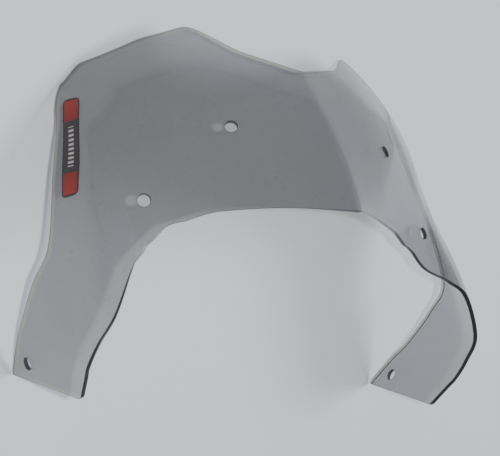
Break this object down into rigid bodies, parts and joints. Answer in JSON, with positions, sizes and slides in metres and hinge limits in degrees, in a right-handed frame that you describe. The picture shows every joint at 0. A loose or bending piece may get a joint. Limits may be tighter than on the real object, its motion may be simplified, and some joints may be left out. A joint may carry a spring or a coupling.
{
  "type": "windshield screen",
  "caption": "Smoked motorcycle headlight screen: a formed acrylic sheet with a centre fold, a headlight cut-out between its legs, drilled fixing holes and a plain side decal.",
  "frame": {"origin": "centre of the bounding box's bottom, on the floor the sheet lies on, hollow side down", "axes": "+X across the motorcycle, the direction the sheet is mirrored in; +Y from the two legs towards the notched top edge; +Z away from the hollow side, the side that meets the wind"},
  "size_m": [0.338, 0.2512, 0.1556],
  "materials": {
    "smoked_acrylic": "polished, light smoke tint",
    "decal_vinyl": "satin printed vinyl"
  },
  "bodies": {
    "root": {"screen_sheet": "smoked_acrylic", "side_decal": "decal_vinyl"}
  },
  "joints": []
}
